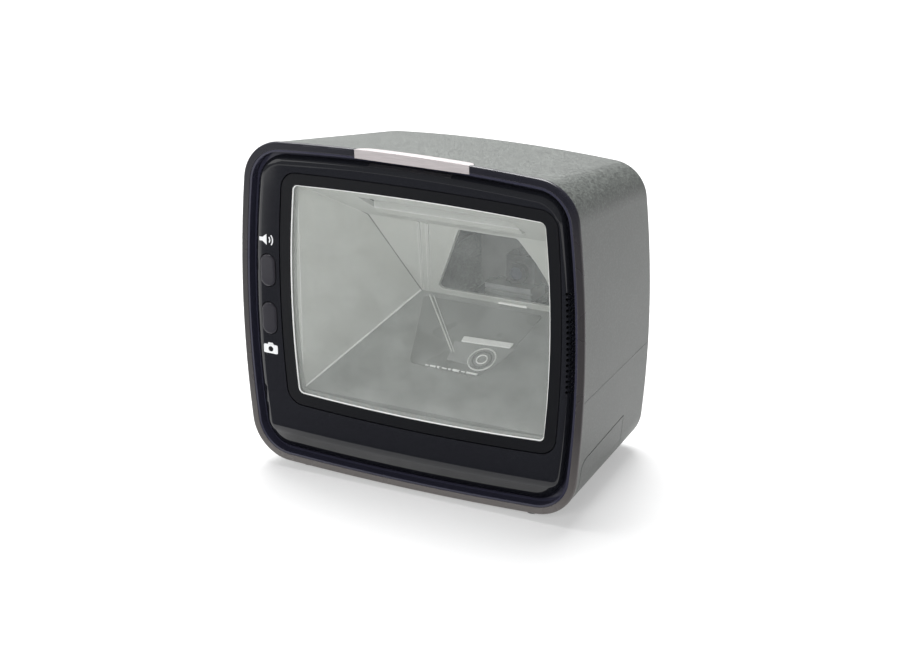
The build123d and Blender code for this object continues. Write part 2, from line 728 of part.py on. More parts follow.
def make_aiming_lamp():
    """The narrow lamp strip where the rear wall meets the mirror."""
    return block((8.0, 21.0), (62.8, 63.9), (60.2 + FOOT_HEIGHT, 61.0 + FOOT_HEIGHT))


# ---- electronics --------------------------------------------------------------------------
RIBBON_X = (-8.6, -3.6)
SPEAKER_HEADER_DEPTH = 30.0


def make_main_board():
    """The main board over the base cover, notched around the screw pillars."""
    board = block((-47, 47), (18, 83.5), (MAIN_BOARD_Z, BOARD_TOP))
    for x, depth in BOSSES:
        board -= post(5.0, x, depth, 0, BIG)
    for x, depth in BOARD_POSTS:
        board -= post(1.1, x, depth, 0, BIG)
    return board


def make_board_screws():
    """Screws that hold the main board on its posts."""
    screws = []
    for x, depth in BOARD_POSTS:
        head = post(2.1, x, depth, BOARD_TOP, BOARD_TOP + 1.5)
        screws.append(head + post(0.85, x, depth, FOOT_HEIGHT + WALL + 1.2, BOARD_TOP))
    return group(screws)


def make_processor_shield():
    """The folded metal can over the processor."""
    can = block((-18, 14), (30, 56), (BOARD_TOP, BOARD_TOP + 4.0))
    return can - block((-17.5, 13.5), (30.5, 55.5), (BOARD_TOP - 1, BOARD_TOP + 3.5))


def make_board_components():
    """Chips, coils and capacitors on the main board."""
    top = BOARD_TOP
    chips = [
        block((-13, 9), (34, 50), (top, top + 1.6)),
        block((22, 32), (30, 40), (top, top + 1.2)),
        block((22, 34), (45, 54), (top, top + 4.2)),
        block((-36, -26), (36, 48), (top, top + 1.4)),
    ]
    cans = [post(3.0, 34, 66 + 8 * i, top, top + 7.5) for i in range(2)]
    ribbon_header = block((RIBBON_X[0] - 1, RIBBON_X[1] + 1), (62, 66), (top, top + 3.0))
    speaker_header = block((41, 46), (SPEAKER_HEADER_DEPTH - 4, SPEAKER_HEADER_DEPTH + 4), (top, top + 3.4))
    return group(chips + cans + [ribbon_header, speaker_header])


def make_camera_ribbon():
    """The flat cable from its header on the main board up to the foot of the camera board."""
    thick = 0.3
    front = 66.25
    rear = CAMERA_BOARD_FRONT - 0.4
    low = BOARD_TOP + 1.6
    high = 59.2
    path = FilletPolyline((y_at(front), low), (y_at(rear), low), (y_at(rear), high), radius=3.0)
    band = offset(path, thick / 2, side=Side.BOTH)
    plane = Plane(origin=(RIBBON_X[0], 0, 0), x_dir=(0, 1, 0), z_dir=(1, 0, 0))
    return extrude(plane * make_face(band), RIBBON_X[1] - RIBBON_X[0])


# ---- buttons ------------------------------------------------------------------------------
SWITCH_FRONT = 7.9
SWITCH_DEPTH = 3.6
BUTTON_BOARD_FRONT = SWITCH_FRONT + SWITCH_DEPTH
BUTTON_BOARD_SCREWS = (46.0 + FOOT_HEIGHT, 99.0 + FOOT_HEIGHT)
BUTTON_BOARD_Z = (42.5 + FOOT_HEIGHT, 102.5 + FOOT_HEIGHT)


def make_button(z):
    """A round-ended key with a soft edge, a keeper behind the bezel and a stem to its switch."""
    key = slab(pill(BUTTON_WIDTH, BUTTON_LENGTH), -BUTTON_PROUD, BUTTON_BACK, BUTTON_X, z)
    key = fillet(key.faces().sort_by(Axis.Y)[0].edges(), 0.75)
    keeper = slab(Rectangle(BUTTON_WIDTH, BUTTON_LENGTH + 3.2), BEZEL_DEPTH + 0.1, BUTTON_BACK, BUTTON_X, z)
    return key + keeper + rod(STEM_RADIUS, BUTTON_X, z, BUTTON_BACK, STEM_BACK)


def make_plunger(z):
    """The plunger of one switch, just touched by the key's stem."""
    return rod(STEM_RADIUS, BUTTON_X, z, STEM_BACK + 0.02, SWITCH_FRONT + 1.2)


def make_switch_bodies():
    """The two switch housings, each with a well for its plunger."""
    half = 3.0
    bodies = []
    for z in BUTTON_HEIGHTS.values():
        body = slab(Rectangle(2 * half, 2 * half), SWITCH_FRONT, BUTTON_BOARD_FRONT, BUTTON_X, z)
        bodies.append(body - rod(STEM_RADIUS + 0.3, BUTTON_X, z, SWITCH_FRONT - 1, SWITCH_FRONT + 2.4))
    return group(bodies)


def make_button_board():
    """The narrow board behind the keys."""
    back = BUTTON_BOARD_FRONT + 1.2
    board = block((BUTTON_X - 4.6, BUTTON_X + 4.6), (BUTTON_BOARD_FRONT, back), BUTTON_BOARD_Z)
    for z in BUTTON_BOARD_SCREWS:
        board -= rod(1.1, BUTTON_X, z, BUTTON_BOARD_FRONT - 1, back + 1)
    return board


def make_button_board_screws():
    """Two screws that hold the button board on the bezel's bosses."""
    back = BUTTON_BOARD_FRONT + 1.2
    screws = []
    for z in BUTTON_BOARD_SCREWS:
        head = rod(1.9, BUTTON_X, z, back, back + 1.3)
        screws.append(head + rod(0.75, BUTTON_X, z, BEZEL_DEPTH + 0.5, back))
    return group(screws)


# ---- speaker ------------------------------------------------------------------------------
SPEAKER_X = 68.4
SPEAKER_Z = 73.8 + FOOT_HEIGHT
SPEAKER_LENGTH = 38.0
SPEAKER_WIDTH = 7.0
SPEAKER_FRONT = 7.2


def speaker_slab(width, length, depth_from, depth_to):
    """A round-ended upright layer of the speaker."""
    return slab(pill(width, length), depth_from, depth_to, SPEAKER_X, SPEAKER_Z)


def make_speaker_frame():
    """The speaker's basket."""
    rim = 1.6
    front = SPEAKER_FRONT
    frame = speaker_slab(SPEAKER_WIDTH, SPEAKER_LENGTH, front, front + 4)
    return frame - speaker_slab(SPEAKER_WIDTH - rim, SPEAKER_LENGTH - rim, front - 1, front + 3)


def make_speaker_cone():
    """The dished diaphragm."""
    return speaker_slab(SPEAKER_WIDTH - 2.0, SPEAKER_LENGTH - 2.0, SPEAKER_FRONT + 0.6, SPEAKER_FRONT + 1.2)


def make_speaker_magnet():
    """The magnet block on the back of the basket."""
    front = SPEAKER_FRONT + 4
    return block((SPEAKER_X - 2.8, SPEAKER_X + 2.8), (front, front + 4.5), (SPEAKER_Z - 9, SPEAKER_Z + 9))


def make_speaker_gasket():
    """The foam ring that seals the speaker to the bezel."""
    gasket = speaker_slab(SPEAKER_WIDTH, SPEAKER_LENGTH, MASK_BACK + 0.1, SPEAKER_FRONT)
    return gasket - speaker_slab(SPEAKER_WIDTH - 2.4, SPEAKER_LENGTH - 2.4, MASK_BACK - 1, SPEAKER_FRONT + 1)


def make_speaker_wires():
    """Two thin wires from the speaker's back down to their header on the main board."""
    radius = 0.45
    bend = 2.9
    header_x = 46.45
    wires = []
    for i in range(2):
        start_z = SPEAKER_Z - 4 + 3 * i
        depth = 19.0 + 1.8 * i
        end_depth = SPEAKER_HEADER_DEPTH - 0.9 + 1.8 * i
        path = FilletPolyline(
            (SPEAKER_X, y_at(15.75), start_z), (SPEAKER_X, y_at(depth), start_z),
            (SPEAKER_X, y_at(depth), 44.0), (62, y_at(end_depth), 26.0),
            (header_x, y_at(end_depth), BOARD_TOP + 1.7), radius=bend
        )
        start = Plane(origin=path @ 0, z_dir=path % 0)
        wires.append(sweep(start * Circle(radius), path=path))
    return group(wires)


def main():
    """Write every piece to its own file."""
    hollow = shell()
    pieces = {
        "front_ring": make_front_ring(),
        "bezel_surround": make_bezel_surround(),
        "front_bezel": make_front_bezel(),
        "window_frame": make_window_frame(),
        "window_glass": make_window_glass(),
        "window_gasket": make_window_gasket(),
        "indicator_bar": make_indicator_bar(),
        "indicator_board": make_indicator_board(),
        "indicator_leds": make_indicator_leds(),
        "upper_housing": make_upper_housing(hollow),
        "lower_housing": make_lower_housing(hollow),
        "base_cover": make_base_cover(hollow),
        "rubber_feet": make_rubber_feet(),
        "base_screws": make_base_screws(),
        "mounting_inserts": make_mounting_inserts(),
        "socket_panel": make_socket_panel(),
        "data_port": make_data_port(),
        "data_port_contacts": make_data_port_contacts(),
        "usb_port": make_usb_port(),
        "usb_tongue": make_usb_tongue(),
        "power_jack": make_power_jack(),
        "power_jack_pin": make_power_pin(),
        "optical_chamber": make_optical_chamber(),
        "bottom_mirror": make_bottom_mirror(),
        "light_bracket": make_light_bracket(),
        "light_diffuser": make_light_diffuser(),
        "illumination_board": make_illumination_board(),
        "illumination_leds": make_illumination_leds(),
        "lens_barrel": make_lens_barrel(),
        "lens_elements": make_lens_elements(),
        "lens_holder": make_lens_holder(),
        "image_sensor": make_image_sensor(),
        "camera_board": make_camera_board(),
        "camera_spacers": make_camera_spacers(),
        "camera_screws": make_camera_screws(),
        "finned_heat_sink": make_finned_heat_sink(),
        "aiming_lamp": make_aiming_lamp(),
        "main_board": make_main_board(),
        "board_screws": make_board_screws(),
        "processor_shield": make_processor_shield(),
        "board_components": make_board_components(),
        "camera_ribbon": make_camera_ribbon(),
        "volume_button": make_button(BUTTON_HEIGHTS["volume"]),
        "capture_button": make_button(BUTTON_HEIGHTS["capture"]),
        "volume_switch_plunger": make_plunger(BUTTON_HEIGHTS["volume"]),
        "capture_switch_plunger": make_plunger(BUTTON_HEIGHTS["capture"]),
        "switch_bodies": make_switch_bodies(),
        "button_board": make_button_board(),
        "button_board_screws": make_button_board_screws(),
        "speaker_frame": make_speaker_frame(),
        "speaker_cone": make_speaker_cone(),
        "speaker_magnet": make_speaker_magnet(),
        "speaker_gasket": make_speaker_gasket(),
        "speaker_wires": make_speaker_wires(),
    }
    os.makedirs("parts", exist_ok=True)
    for name, piece in pieces.items():
        export_step(piece, f"parts/{name}.step")


main()
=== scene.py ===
import json
from math import atan2, cos, pi, radians, sin

import bpy
import bmesh
from mathutils import Matrix, Vector


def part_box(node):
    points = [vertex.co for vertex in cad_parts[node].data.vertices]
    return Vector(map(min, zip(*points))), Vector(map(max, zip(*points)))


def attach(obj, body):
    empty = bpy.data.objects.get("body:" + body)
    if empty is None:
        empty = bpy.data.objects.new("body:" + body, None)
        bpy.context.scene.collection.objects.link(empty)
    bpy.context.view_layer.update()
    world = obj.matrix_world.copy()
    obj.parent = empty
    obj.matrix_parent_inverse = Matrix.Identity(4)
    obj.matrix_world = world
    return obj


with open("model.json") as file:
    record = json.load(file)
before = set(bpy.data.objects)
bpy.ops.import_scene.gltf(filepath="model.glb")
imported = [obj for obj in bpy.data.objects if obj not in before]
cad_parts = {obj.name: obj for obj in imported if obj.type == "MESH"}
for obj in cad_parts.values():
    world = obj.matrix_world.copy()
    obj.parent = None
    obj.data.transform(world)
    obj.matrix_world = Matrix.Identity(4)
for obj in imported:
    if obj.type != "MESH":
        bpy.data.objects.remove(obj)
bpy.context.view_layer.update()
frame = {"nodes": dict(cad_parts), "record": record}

MM = 0.001
NODES = frame["nodes"]
BEZEL_FACE_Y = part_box("front_bezel")[0].y


def linear(level):
    """Display level 0-255 as scene-linear."""
    share = level / 255
    return share / 12.92 if share <= 0.04045 else ((share + 0.055) / 1.055) ** 2.4


def rgb(red, green, blue):
    return (linear(red), linear(green), linear(blue), 1.0)


def scaled(colour, factor):
    return (*[min(1.0, c * factor) for c in colour[:3]], 1.0)


# ---------------------------------------------------------------- materials

class Surface:
    """One node material: a Principled shader with object coordinates and helpers to wire it."""

    def __init__(self, name):
        self.material = bpy.data.materials.new(name)
        self.material.use_nodes = True
        self.tree = self.material.node_tree
        self.shader = self.tree.nodes["Principled BSDF"]
        self.coordinates = self.tree.nodes.new("ShaderNodeTexCoord").outputs["Object"]

    def link(self, source, target):
        self.tree.links.new(source, target)

    def stretched(self, scale):
        """Object coordinates scaled per axis."""
        mapping = self.tree.nodes.new("ShaderNodeMapping")
        mapping.inputs["Scale"].default_value = scale
        self.link(self.coordinates, mapping.inputs["Vector"])
        return mapping.outputs["Vector"]

    def noise(self, grain_mm, detail=3.0, coordinates=None):
        """Noise whose blobs are about grain_mm across."""
        node = self.tree.nodes.new("ShaderNodeTexNoise")
        node.inputs["Scale"].default_value = 1 / (grain_mm * MM)
        node.inputs["Detail"].default_value = detail
        self.link(coordinates or self.coordinates, node.inputs["Vector"])
        return node.outputs["Fac"]

    def cells(self, grain_mm):
        """Random grey per cell, for metal flakes."""
        node = self.tree.nodes.new("ShaderNodeTexVoronoi")
        node.inputs["Scale"].default_value = 1 / (grain_mm * MM)
        self.link(self.coordinates, node.inputs["Vector"])
        return node.outputs["Color"]

    def ramp(self, factor, stops):
        """Colour ramp; stops are (position, colour)."""
        node = self.tree.nodes.new("ShaderNodeValToRGB")
        while len(node.color_ramp.elements) < len(stops):
            node.color_ramp.elements.new(0.5)
        for element, (position, colour) in zip(node.color_ramp.elements, stops):
            element.position = position
            element.color = colour
        self.link(factor, node.inputs["Fac"])
        return node.outputs["Color"]

    def span(self, factor, low, high, out_low, out_high):
        node = self.tree.nodes.new("ShaderNodeMapRange")
        for key, value in zip(("From Min", "From Max", "To Min", "To Max"), (low, high, out_low, out_high)):
            node.inputs[key].default_value = value
        self.link(factor, node.inputs["Value"])
        return node.outputs["Result"]

    def mixed(self, factor, first, second):
        node = self.tree.nodes.new("ShaderNodeMix")
        node.data_type = "RGBA"
        self.link(factor, node.inputs["Factor"])
        for socket, value in ((node.inputs[6], first), (node.inputs[7], second)):
            if isinstance(value, tuple):
                socket.default_value = value
            else:
                self.link(value, socket)
        return node.outputs[2]

    def edges(self, radius_mm):
        """1 along edges that turn within radius_mm, 0 on open faces."""
        bevel = self.tree.nodes.new("ShaderNodeBevel")
        bevel.inputs["Radius"].default_value = radius_mm * MM
        geometry = self.tree.nodes.new("ShaderNodeNewGeometry")
        dot = self.tree.nodes.new("ShaderNodeVectorMath")
        dot.operation = "DOT_PRODUCT"
        self.link(bevel.outputs["Normal"], dot.inputs[0])
        self.link(geometry.outputs["Normal"], dot.inputs[1])
        return self.span(dot.outputs["Value"], 0.999, 0.8, 0, 1)

    def relief(self, height, depth_mm, strength=1.0, round_mm=0.0):
        """Bump from height, over edges rounded by round_mm."""
        bump = self.tree.nodes.new("ShaderNodeBump")
        bump.inputs["Strength"].default_value = strength
        bump.inputs["Distance"].default_value = depth_mm * MM
        self.link(height, bump.inputs["Height"])
        if round_mm:
            bevel = self.tree.nodes.new("ShaderNodeBevel")
            bevel.samples = 4
            bevel.inputs["Radius"].default_value = round_mm * MM
            self.link(bevel.outputs["Normal"], bump.inputs["Normal"])
        self.link(bump.outputs["Normal"], self.shader.inputs["Normal"])

    def set(self, **values):
        for key, value in values.items():
            self.shader.inputs[key.replace("_", " ")].default_value = value


def moulded(name, colour, roughness, grain_mm=0.35, spread=0.12, bump_mm=0.01, metallic=0.0,
            smudge=0.06, round_mm=0.15, wear_and_edge_highlight=0.0, coat=0.0, ior=1.5):
    """Moulded, cast or painted finish: grain, broad roughness drift, rounded edges, and lightened edges that
    are wear on handled parts and a painted highlight on the window mask and chamber parts.
    """
    surface = Surface(name)
    grain = surface.noise(grain_mm)
    broad = surface.noise(18.0, 2.0)
    colours = surface.ramp(grain, [(0.3, scaled(colour, 1 - spread)), (0.7, scaled(colour, 1 + spread))])
    # Edges lightened 2.2 times: wear on handled parts, a painted highlight on the window mask and the chamber
    # parts.
    if wear_and_edge_highlight:
        colours = surface.mixed(surface.span(surface.edges(0.5), 0, 1, 0, wear_and_edge_highlight), colours, scaled(colour, 2.2))
    surface.link(colours, surface.shader.inputs["Base Color"])
    surface.link(surface.span(broad, 0.3, 0.7, max(0.02, roughness - smudge), roughness + smudge),
                 surface.shader.inputs["Roughness"])
    surface.set(Metallic=metallic, IOR=ior, Coat_Weight=coat, Coat_Roughness=0.03)
    surface.relief(grain, bump_mm, 0.5, round_mm)
    return surface.material


def housing_paint():
    """Fine-textured metallic grey: pale and dark flakes in a satin coat over a light orange-peel relief."""
    base = rgb(76, 79, 76)
    surface = Surface("housing_paint")
    flakes = surface.cells(0.62)
    tone = surface.ramp(flakes, [(0.05, scaled(base, 0.5)), (0.45, base), (0.9, scaled(base, 1.9))])
    drift = surface.ramp(surface.noise(30.0, 2.0), [(0.35, (0.93, 0.93, 0.93, 1)), (0.65, (1, 1, 1, 1))])
    node = surface.tree.nodes.new("ShaderNodeMix")
    node.data_type = "RGBA"
    node.blend_type = "MULTIPLY"
    node.inputs["Factor"].default_value = 1.0
    surface.link(tone, node.inputs[6])
    surface.link(drift, node.inputs[7])
    worn = surface.mixed(surface.span(surface.edges(0.5), 0, 1, 0, 0.25), node.outputs[2], scaled(base, 1.8))
    surface.link(worn, surface.shader.inputs["Base Color"])
    surface.link(surface.span(flakes, 0.0, 1.0, 0.34, 0.56), surface.shader.inputs["Roughness"])
    surface.set(Metallic=0.1, IOR=1.5)
    surface.relief(surface.noise(0.5, 2.0), 0.02, 0.6, 0.2)
    return surface.material


def brushed(name, colour, roughness, along, metallic=0.0):
    """Fine parallel brush lines; along is the axis index the lines run on."""
    surface = Surface(name)
    stretch = [1.0, 1.0, 1.0]
    stretch[along] = 0.02
    lines = surface.noise(0.12, 4.0, surface.stretched(tuple(stretch)))
    colours = surface.ramp(lines, [(0.3, scaled(colour, 0.86)), (0.7, scaled(colour, 1.12))])
    surface.link(colours, surface.shader.inputs["Base Color"])
    surface.link(surface.span(lines, 0.3, 0.7, roughness - 0.08, roughness + 0.1),
                 surface.shader.inputs["Roughness"])
    surface.set(Metallic=metallic)
    surface.relief(lines, 0.004, 0.5, 0.15)
    return surface.material


def hazed_glass():
    """The scan window: clear glass with a light film of dust."""
    surface = Surface("window_glass_clear")
    film = surface.noise(9.0, 5.0)
    specks = surface.noise(0.6, 2.0)
    tint = surface.ramp(specks, [(0.4, rgb(196, 201, 198)), (0.75, rgb(216, 220, 217))])
    surface.link(tint, surface.shader.inputs["Base Color"])
    surface.link(surface.span(film, 0.3, 0.7, 0.10, 0.16), surface.shader.inputs["Alpha"])
    surface.link(surface.span(film, 0.3, 0.7, 0.03, 0.08), surface.shader.inputs["Roughness"])
    surface.set(IOR=1.5)
    return surface.material


def ring_satin():
    """Satin taupe trim; its base colour is painted light and reflection, lighter at the foot and darkening
    with height to navy black along the top.
    """
    surface = Surface("ring_trim_satin")
    split = surface.tree.nodes.new("ShaderNodeSeparateXYZ")
    surface.link(surface.coordinates, split.inputs["Vector"])
    # Painted light and reflection: the base colour darkens by height alone, from light taupe at the foot to
    # navy black at the top.
    rise = surface.span(split.outputs["Z"], 0.0, 0.14, 0.0, 1.0)
    body = surface.ramp(rise, [(0.03, rgb(96, 92, 90)), (0.3, rgb(60, 57, 57)), (0.8, rgb(46, 44, 46)),
                               (0.93, rgb(25, 25, 34))])
    grain = surface.ramp(surface.noise(0.3), [(0.3, (0.88, 0.88, 0.88, 1)), (0.7, (1, 1, 1, 1))])
    node = surface.tree.nodes.new("ShaderNodeMix")
    node.data_type = "RGBA"
    node.blend_type = "MULTIPLY"
    node.inputs["Factor"].default_value = 1.0
    surface.link(body, node.inputs[6])
    surface.link(grain, node.inputs[7])
    worn = surface.mixed(surface.span(surface.edges(0.4), 0, 1, 0, 0.4), node.outputs[2], rgb(104, 101, 104))
    surface.link(worn, surface.shader.inputs["Base Color"])
    surface.link(surface.span(surface.noise(15.0), 0.3, 0.7, 0.24, 0.34), surface.shader.inputs["Roughness"])
    surface.relief(surface.noise(0.3), 0.004, 0.5, 0.3)
    return surface.material


def satin_mirror():
    """Silvered plate under a satin film: it keeps soft reflections and drifts a little in tone."""
    surface = Surface("mirror_satin_film")
    film = surface.noise(16.0, 4.0)
    tint = surface.ramp(film, [(0.35, rgb(150, 152, 149)), (0.65, rgb(168, 170, 167))])
    surface.link(tint, surface.shader.inputs["Base Color"])
    surface.link(surface.span(film, 0.3, 0.7, 0.42, 0.5), surface.shader.inputs["Roughness"])
    surface.set(Metallic=0.55)
    surface.relief(surface.noise(0.3), 0.001, 0.4)
    return surface.material


def bezel_gloss():
    """High-gloss black. Its lower lip rolls under, which a height field in the bump shows."""
    surface = Surface("bezel_gloss_black")
    low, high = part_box("front_bezel")
    lip = 11.5 * MM
    side_roll = 4.2 * MM
    split = surface.tree.nodes.new("ShaderNodeSeparateXYZ")
    surface.link(surface.coordinates, split.inputs["Vector"])
    half_width = (high.x - low.x) / 2
    bow = 4.6 * MM / ((high.z - low.z) / 2) ** 2

    def maths(operation, first, second):
        node = surface.tree.nodes.new("ShaderNodeMath")
        node.operation = operation
        for socket, value in zip(node.inputs, (first, second)):
            if isinstance(value, (int, float)):
                socket.default_value = value
            else:
                surface.link(value, socket)
        return node.outputs["Value"]

    def rolled(distance_in, width, steepness):
        """Drop of a cubic curve that starts width inside an edge and reaches steepness at it."""
        inside = maths("MAXIMUM", maths("SUBTRACT", width, distance_in), 0.0)
        cubed = maths("MULTIPLY", maths("MULTIPLY", inside, inside), inside)
        return maths("MULTIPLY", cubed, steepness / (3 * width ** 2))

    crown = 1.9 * MM / half_width ** 2
    across = maths("MULTIPLY", split.outputs["X"], split.outputs["X"])
    from_bottom = maths("SUBTRACT", split.outputs["Z"], maths("ADD", maths("MULTIPLY", across, crown), low.z))
    rise = maths("SUBTRACT", split.outputs["Z"], (low.z + high.z) / 2)
    edge = maths("SUBTRACT", half_width, maths("MULTIPLY", maths("MULTIPLY", rise, rise), bow))
    from_side = maths("SUBTRACT", edge, maths("ABSOLUTE", split.outputs["X"], 0.0))
    drop = maths("ADD", rolled(from_bottom, lip, 3.4), rolled(from_side, side_roll, 0.9))
    grain = surface.noise(0.8)
    colours = surface.ramp(grain, [(0.3, rgb(23, 24, 28)), (0.7, rgb(26, 27, 31))])
    surface.link(colours, surface.shader.inputs["Base Color"])
    surface.link(surface.span(surface.noise(20.0, 2.0), 0.3, 0.7, 0.04, 0.09),
                 surface.shader.inputs["Roughness"])
    surface.set(IOR=1.52)
    bump = surface.tree.nodes.new("ShaderNodeBump")
    bump.inputs["Distance"].default_value = 1.0
    surface.link(maths("MULTIPLY", drop, -1.0), bump.inputs["Height"])
    surface.link(bump.outputs["Normal"], surface.shader.inputs["Normal"])
    return surface.material


def board_mask():
    """Circuit board: green solder mask over copper tracks."""
    surface = Surface("board_mask_green")
    tracks = surface.tree.nodes.new("ShaderNodeTexBrick")
    tracks.inputs["Scale"].default_value = 220.0
    tracks.inputs["Mortar Size"].default_value = 0.03
    tracks.inputs["Color1"].default_value = rgb(12, 74, 44)
    tracks.inputs["Color2"].default_value = rgb(14, 82, 50)
    tracks.inputs["Mortar"].default_value = rgb(44, 122, 74)
    surface.link(surface.coordinates, tracks.inputs["Vector"])
    surface.link(tracks.outputs["Color"], surface.shader.inputs["Base Color"])
    surface.link(surface.span(surface.noise(3.0), 0.3, 0.7, 0.28, 0.42), surface.shader.inputs["Roughness"])
    surface.relief(tracks.outputs["Fac"], 0.03, 0.6)
    return surface.material


def twisted_insulation():
    """Speaker lead insulation with a stripe."""
    surface = Surface("wire_insulation")
    stripe = surface.noise(1.6, 0.0)
    colours = surface.ramp(stripe, [(0.48, rgb(122, 20, 18)), (0.52, rgb(26, 26, 28))])
    surface.link(colours, surface.shader.inputs["Base Color"])
    surface.link(surface.span(surface.noise(0.8), 0.3, 0.7, 0.4, 0.55), surface.shader.inputs["Roughness"])
    return surface.material


FINISHES = {
    "ring_trim": ring_satin(),
    "surround_plastic": moulded("surround_gloss", rgb(48, 48, 62), 0.18, 0.5, 0.08, 0.002, smudge=0.03),
    "bezel_plastic": bezel_gloss(),
    # The mask's lightened edges are a painted highlight.
    "mask_plastic": moulded("mask_matt", rgb(20, 21, 24), 0.5, 0.25, 0.12, 0.006, wear_and_edge_highlight=0.8, ior=1.3),
    "window_glass": hazed_glass(),
    "foam": moulded("gasket_foam", rgb(176, 178, 174), 0.8, 0.4, 0.08, 0.004),
    "light_bar": brushed("light_bar_brushed", rgb(172, 166, 166), 0.36, 0),
    "board_green": board_mask(),
    "lamp_white": moulded("lamp_white", rgb(236, 236, 226), 0.3, 0.4, 0.04, 0.005),
    "housing_grey": housing_paint(),
    "foot_rubber": moulded("foot_rubber", rgb(28, 28, 29), 0.8, 0.4, 0.2, 0.03),
    "screw_steel": brushed("screw_steel", rgb(180, 180, 178), 0.3, 2, 1.0),
    "insert_brass": brushed("insert_brass", rgb(196, 164, 92), 0.3, 0, 1.0),
    "panel_black": moulded("panel_black", rgb(26, 26, 27), 0.5, 0.3, 0.2, 0.02, wear_and_edge_highlight=0.3),
    "port_black": moulded("port_black", rgb(20, 20, 21), 0.45, 0.3, 0.15, 0.01, wear_and_edge_highlight=0.3),
    "contact_gold": brushed("contact_gold", rgb(232, 196, 104), 0.22, 1, 1.0),
    "port_steel": brushed("port_steel", rgb(186, 187, 184), 0.28, 0, 1.0),
    # The chamber's lightened edges are a painted highlight.
    "chamber_grey": moulded("chamber_grey", rgb(190, 192, 186), 0.5, 0.5, 0.012, 0.0001, wear_and_edge_highlight=0.7, ior=1.45),
    "mirror": satin_mirror(),
    # The diffuser's lightened edges are a painted highlight.
    "diffuser": moulded("diffuser_frosted", rgb(184, 186, 180), 0.4, 0.3, 0.04, 0.002, wear_and_edge_highlight=0.9),
    # The lens barrel's lightened edges are a painted highlight.
    "lens_black": moulded("lens_black", rgb(44, 44, 45), 0.35, 0.3, 0.15, 0.01, wear_and_edge_highlight=0.8),
    "lens_glass": moulded("lens_coated", rgb(34, 38, 56), 0.04, 1.0, 0.1, 0.0, coat=1.0),
    "chip_black": moulded("chip_black", rgb(30, 30, 32), 0.5, 0.2, 0.2, 0.01),
    "sink_aluminium": brushed("sink_aluminium", rgb(210, 211, 209), 0.35, 0, 1.0),
    "ribbon": brushed("ribbon_film", rgb(178, 116, 44), 0.35, 2),
    "key_plastic": moulded("key_satin_gloss", rgb(44, 43, 48), 0.16, 0.4, 0.08, 0.002, wear_and_edge_highlight=0.4,
                           round_mm=0.5),
    "plunger": moulded("plunger", rgb(50, 50, 52), 0.5),
    "cone": moulded("cone_pulp", rgb(34, 34, 34), 0.9, 0.6, 0.3, 0.08),
    "wire": twisted_insulation(),
}

NODE_FINISHES = {
    # The camera board's lightened edges are a painted highlight.
    "camera_board": moulded("camera_board_mask", rgb(96, 97, 95), 0.45, 0.6, 0.15, 0.02, wear_and_edge_highlight=0.5),
    "aiming_lamp": moulded("aiming_lamp_lens", rgb(246, 246, 242), 0.2, 0.4, 0.02, 0.0),
}

slots = {row["node"]: row["material_slot"] for row in frame["record"]["subparts"]}
for node_name, node in NODES.items():
    for index in range(max(1, len(node.material_slots))):
        if index >= len(node.material_slots):
            node.data.materials.append(None)
        node.material_slots[index].material = NODE_FINISHES.get(node_name, FINISHES[slots[node_name]])


# ---------------------------------------------------------------- pieces made here

def add_mesh(name, bm, material, body):
    """A piece from a finished bmesh, riding on a body."""
    mesh = bpy.data.meshes.new(name)
    bmesh.ops.recalc_face_normals(bm, faces=bm.faces)
    bm.to_mesh(mesh)
    bm.free()
    piece = bpy.data.objects.new(name, mesh)
    bpy.context.scene.collection.objects.link(piece)
    mesh.materials.append(material)
    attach(piece, body)
    return piece


def thicken(bm, faces, depth):
    """Extrudes flat X-Z faces back along +Y by depth."""
    made = bmesh.ops.extrude_face_region(bm, geom=faces)
    moved = [item for item in made["geom"] if isinstance(item, bmesh.types.BMVert)]
    bmesh.ops.translate(bm, verts=moved, vec=(0, depth, 0))


def outline_face(bm, points, y):
    return bm.faces.new([bm.verts.new((x, y, z)) for x, z in points])


def arc(centre, radius, start, end, count):
    steps = [start + (end - start) * i / (count - 1) for i in range(count)]
    return [(centre[0] + radius * cos(a), centre[1] + radius * sin(a)) for a in steps]


PRINT_PROUD = 0.05 * MM
PRINT_WHITE = moulded("print_white", rgb(226, 227, 228), 0.4, 0.25, 0.05, 0.003)
PRINT_DARK = moulded("print_dark", rgb(18, 18, 20), 0.2, 0.5, 0.05, 0.001)


def printed(name, outlines, material, lift=0.0):
    """A pad-printed mark on the bezel's face."""
    bm = bmesh.new()
    front = BEZEL_FACE_Y - PRINT_PROUD - lift
    faces = [outline_face(bm, outline, front) for outline in outlines]
    thicken(bm, faces, PRINT_PROUD)
    return add_mesh(name, bm, material, "body")


def loudspeaker_mark(x, z):
    """Horn with two waves, about 7 mm wide."""
    horn = [(x - 3.6 * MM, z - 0.8 * MM), (x - 2.1 * MM, z - 0.8 * MM), (x - 0.2 * MM, z - 2.3 * MM),
            (x - 0.2 * MM, z + 2.3 * MM), (x - 2.1 * MM, z + 0.8 * MM), (x - 3.6 * MM, z + 0.8 * MM)]
    outlines = [horn]
    for radius in (1.7, 3.0):
        outer = arc((x - 0.4 * MM, z), (radius + 0.27) * MM, -0.72, 0.72, 13)
        inner = arc((x - 0.4 * MM, z), (radius - 0.27) * MM, 0.72, -0.72, 13)
        outlines.append(outer + inner)
    return printed("mark_volume", outlines, PRINT_WHITE)


